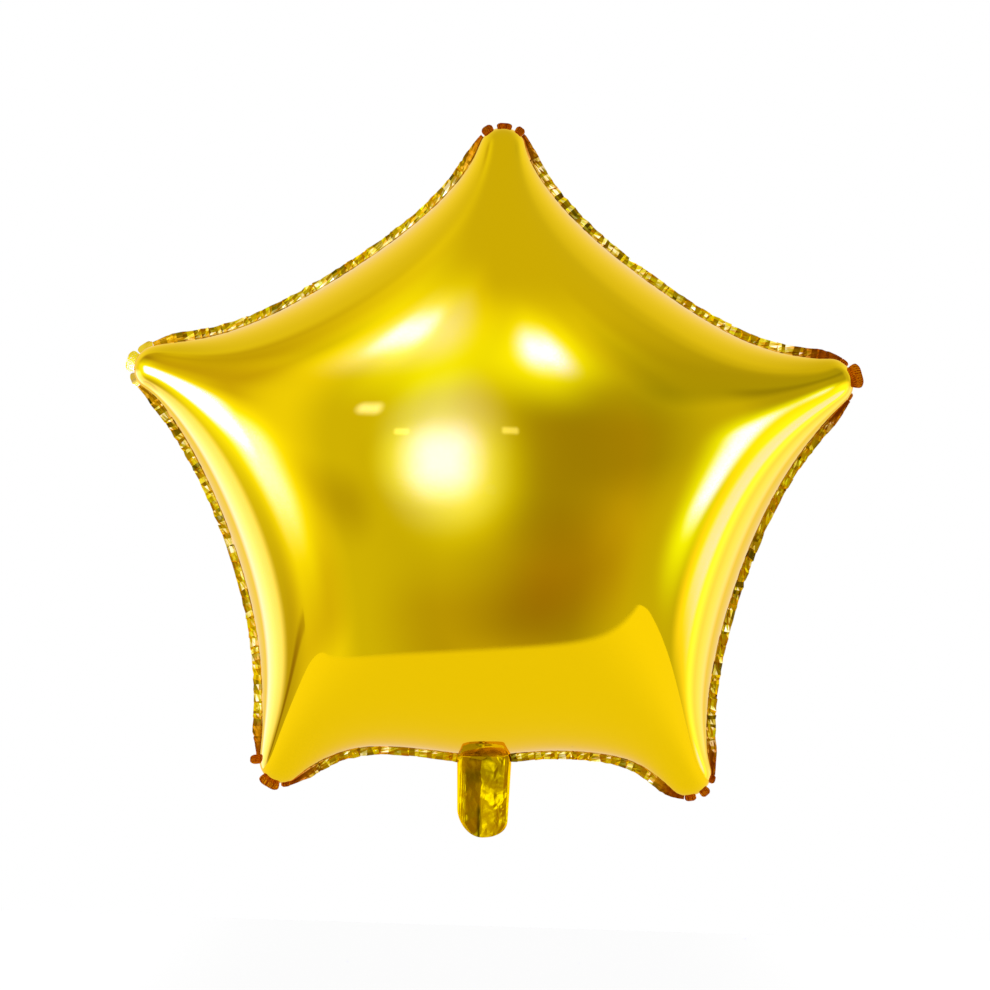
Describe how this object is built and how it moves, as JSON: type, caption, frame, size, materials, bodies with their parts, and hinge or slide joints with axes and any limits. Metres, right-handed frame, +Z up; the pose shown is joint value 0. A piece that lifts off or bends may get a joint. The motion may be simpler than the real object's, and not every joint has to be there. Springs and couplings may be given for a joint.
{
  "type": "star foil balloon",
  "caption": "Blown-up star foil balloon with a crimped seal, tabs round its tips and a flat filling neck below.",
  "frame": {"origin": "on the seal's outer edge in the middle of the neck's root, where a ribbon is tied", "axes": "+Z up through the star's top arm, +X to the right, the front film faces -Y and the seal lies in the XZ plane"},
  "size_m": [0.4028, 0.2068, 0.3914],
  "materials": {
    "gold_foil": "polished"
  },
  "bodies": {
    "root": {"star_balloon": "gold_foil"}
  },
  "joints": []
}
